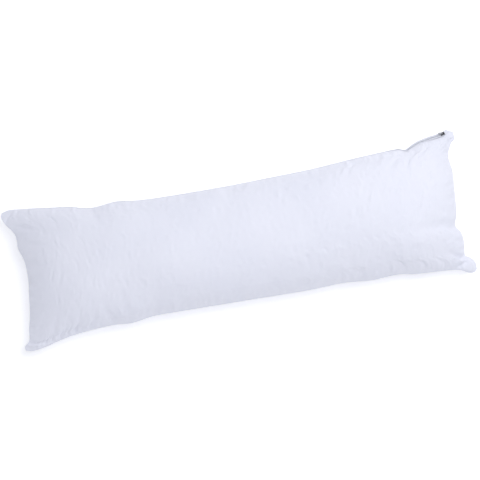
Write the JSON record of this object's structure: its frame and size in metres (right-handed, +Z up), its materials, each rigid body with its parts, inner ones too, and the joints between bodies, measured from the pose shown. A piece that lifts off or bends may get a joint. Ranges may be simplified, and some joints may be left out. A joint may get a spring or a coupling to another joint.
{
  "type": "body pillow",
  "caption": "Long filled body pillow with drawn-in sides, soft ears at its corners and a zip along one long edge, lying on its back.",
  "frame": {"origin": "on the surface that the pillow lies on, under the middle of its outline", "axes": "+X along the pillow towards the zip's slider, +Y across it towards the edge with the zip, +Z up from the surface"},
  "size_m": [1.2728, 0.4036, 0.181],
  "materials": {
    "cover_cloth": "matt white woven cotton",
    "zip_tape": "white woven polyester tape",
    "zip_chain": "white nylon coil",
    "zip_slider": "black lacquered die-cast metal",
    "zip_pull": "grey lacquered die-cast metal"
  },
  "bodies": {
    "root": {"filled_cover": "cover_cloth", "zip_tape_upper": "zip_tape", "zip_tape_lower": "zip_tape", "zip_chain": "zip_chain", "zip_slider": "zip_slider", "zip_pull": "zip_pull"}
  },
  "joints": []
}
